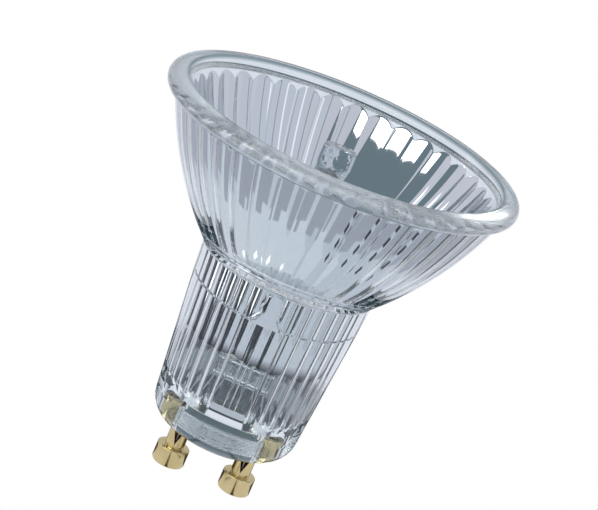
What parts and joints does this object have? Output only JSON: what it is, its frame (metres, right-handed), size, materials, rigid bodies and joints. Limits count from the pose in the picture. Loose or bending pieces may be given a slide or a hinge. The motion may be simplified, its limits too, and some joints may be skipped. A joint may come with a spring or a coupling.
{
  "type": "gu10 spotlight bulb",
  "caption": "Mains halogen reflector lamp: fluted pressed-glass bowl and neck with an open front, a quartz capsule on the axis, and brass mushroom-head pins that twist into a lampholder.",
  "frame": {"origin": "midway between the tips of the contact pins, on the lamp's axis", "axes": "+Z along the axis from the pins to the open front, X along the line of the two pins"},
  "size_m": [0.051, 0.051, 0.0544],
  "materials": {
    "pressed_glass": "clear pressed glass, mirror film inside",
    "quartz": "clear quartz",
    "tungsten": "drawn wire",
    "molybdenum": "drawn wire and rolled foil",
    "cement": "fired ceramic cement",
    "brass": "turned brass"
  },
  "bodies": {
    "root": {"reflector_glass": "pressed_glass", "capsule_glass": "quartz", "filament": "tungsten", "inner_lead_short": "tungsten", "inner_lead_long": "tungsten", "foil_left": "molybdenum", "foil_right": "molybdenum", "outer_lead_left": "molybdenum", "outer_lead_right": "molybdenum", "capsule_cement": "cement", "contact_pin_left": "brass", "contact_pin_right": "brass"}
  },
  "joints": []
}
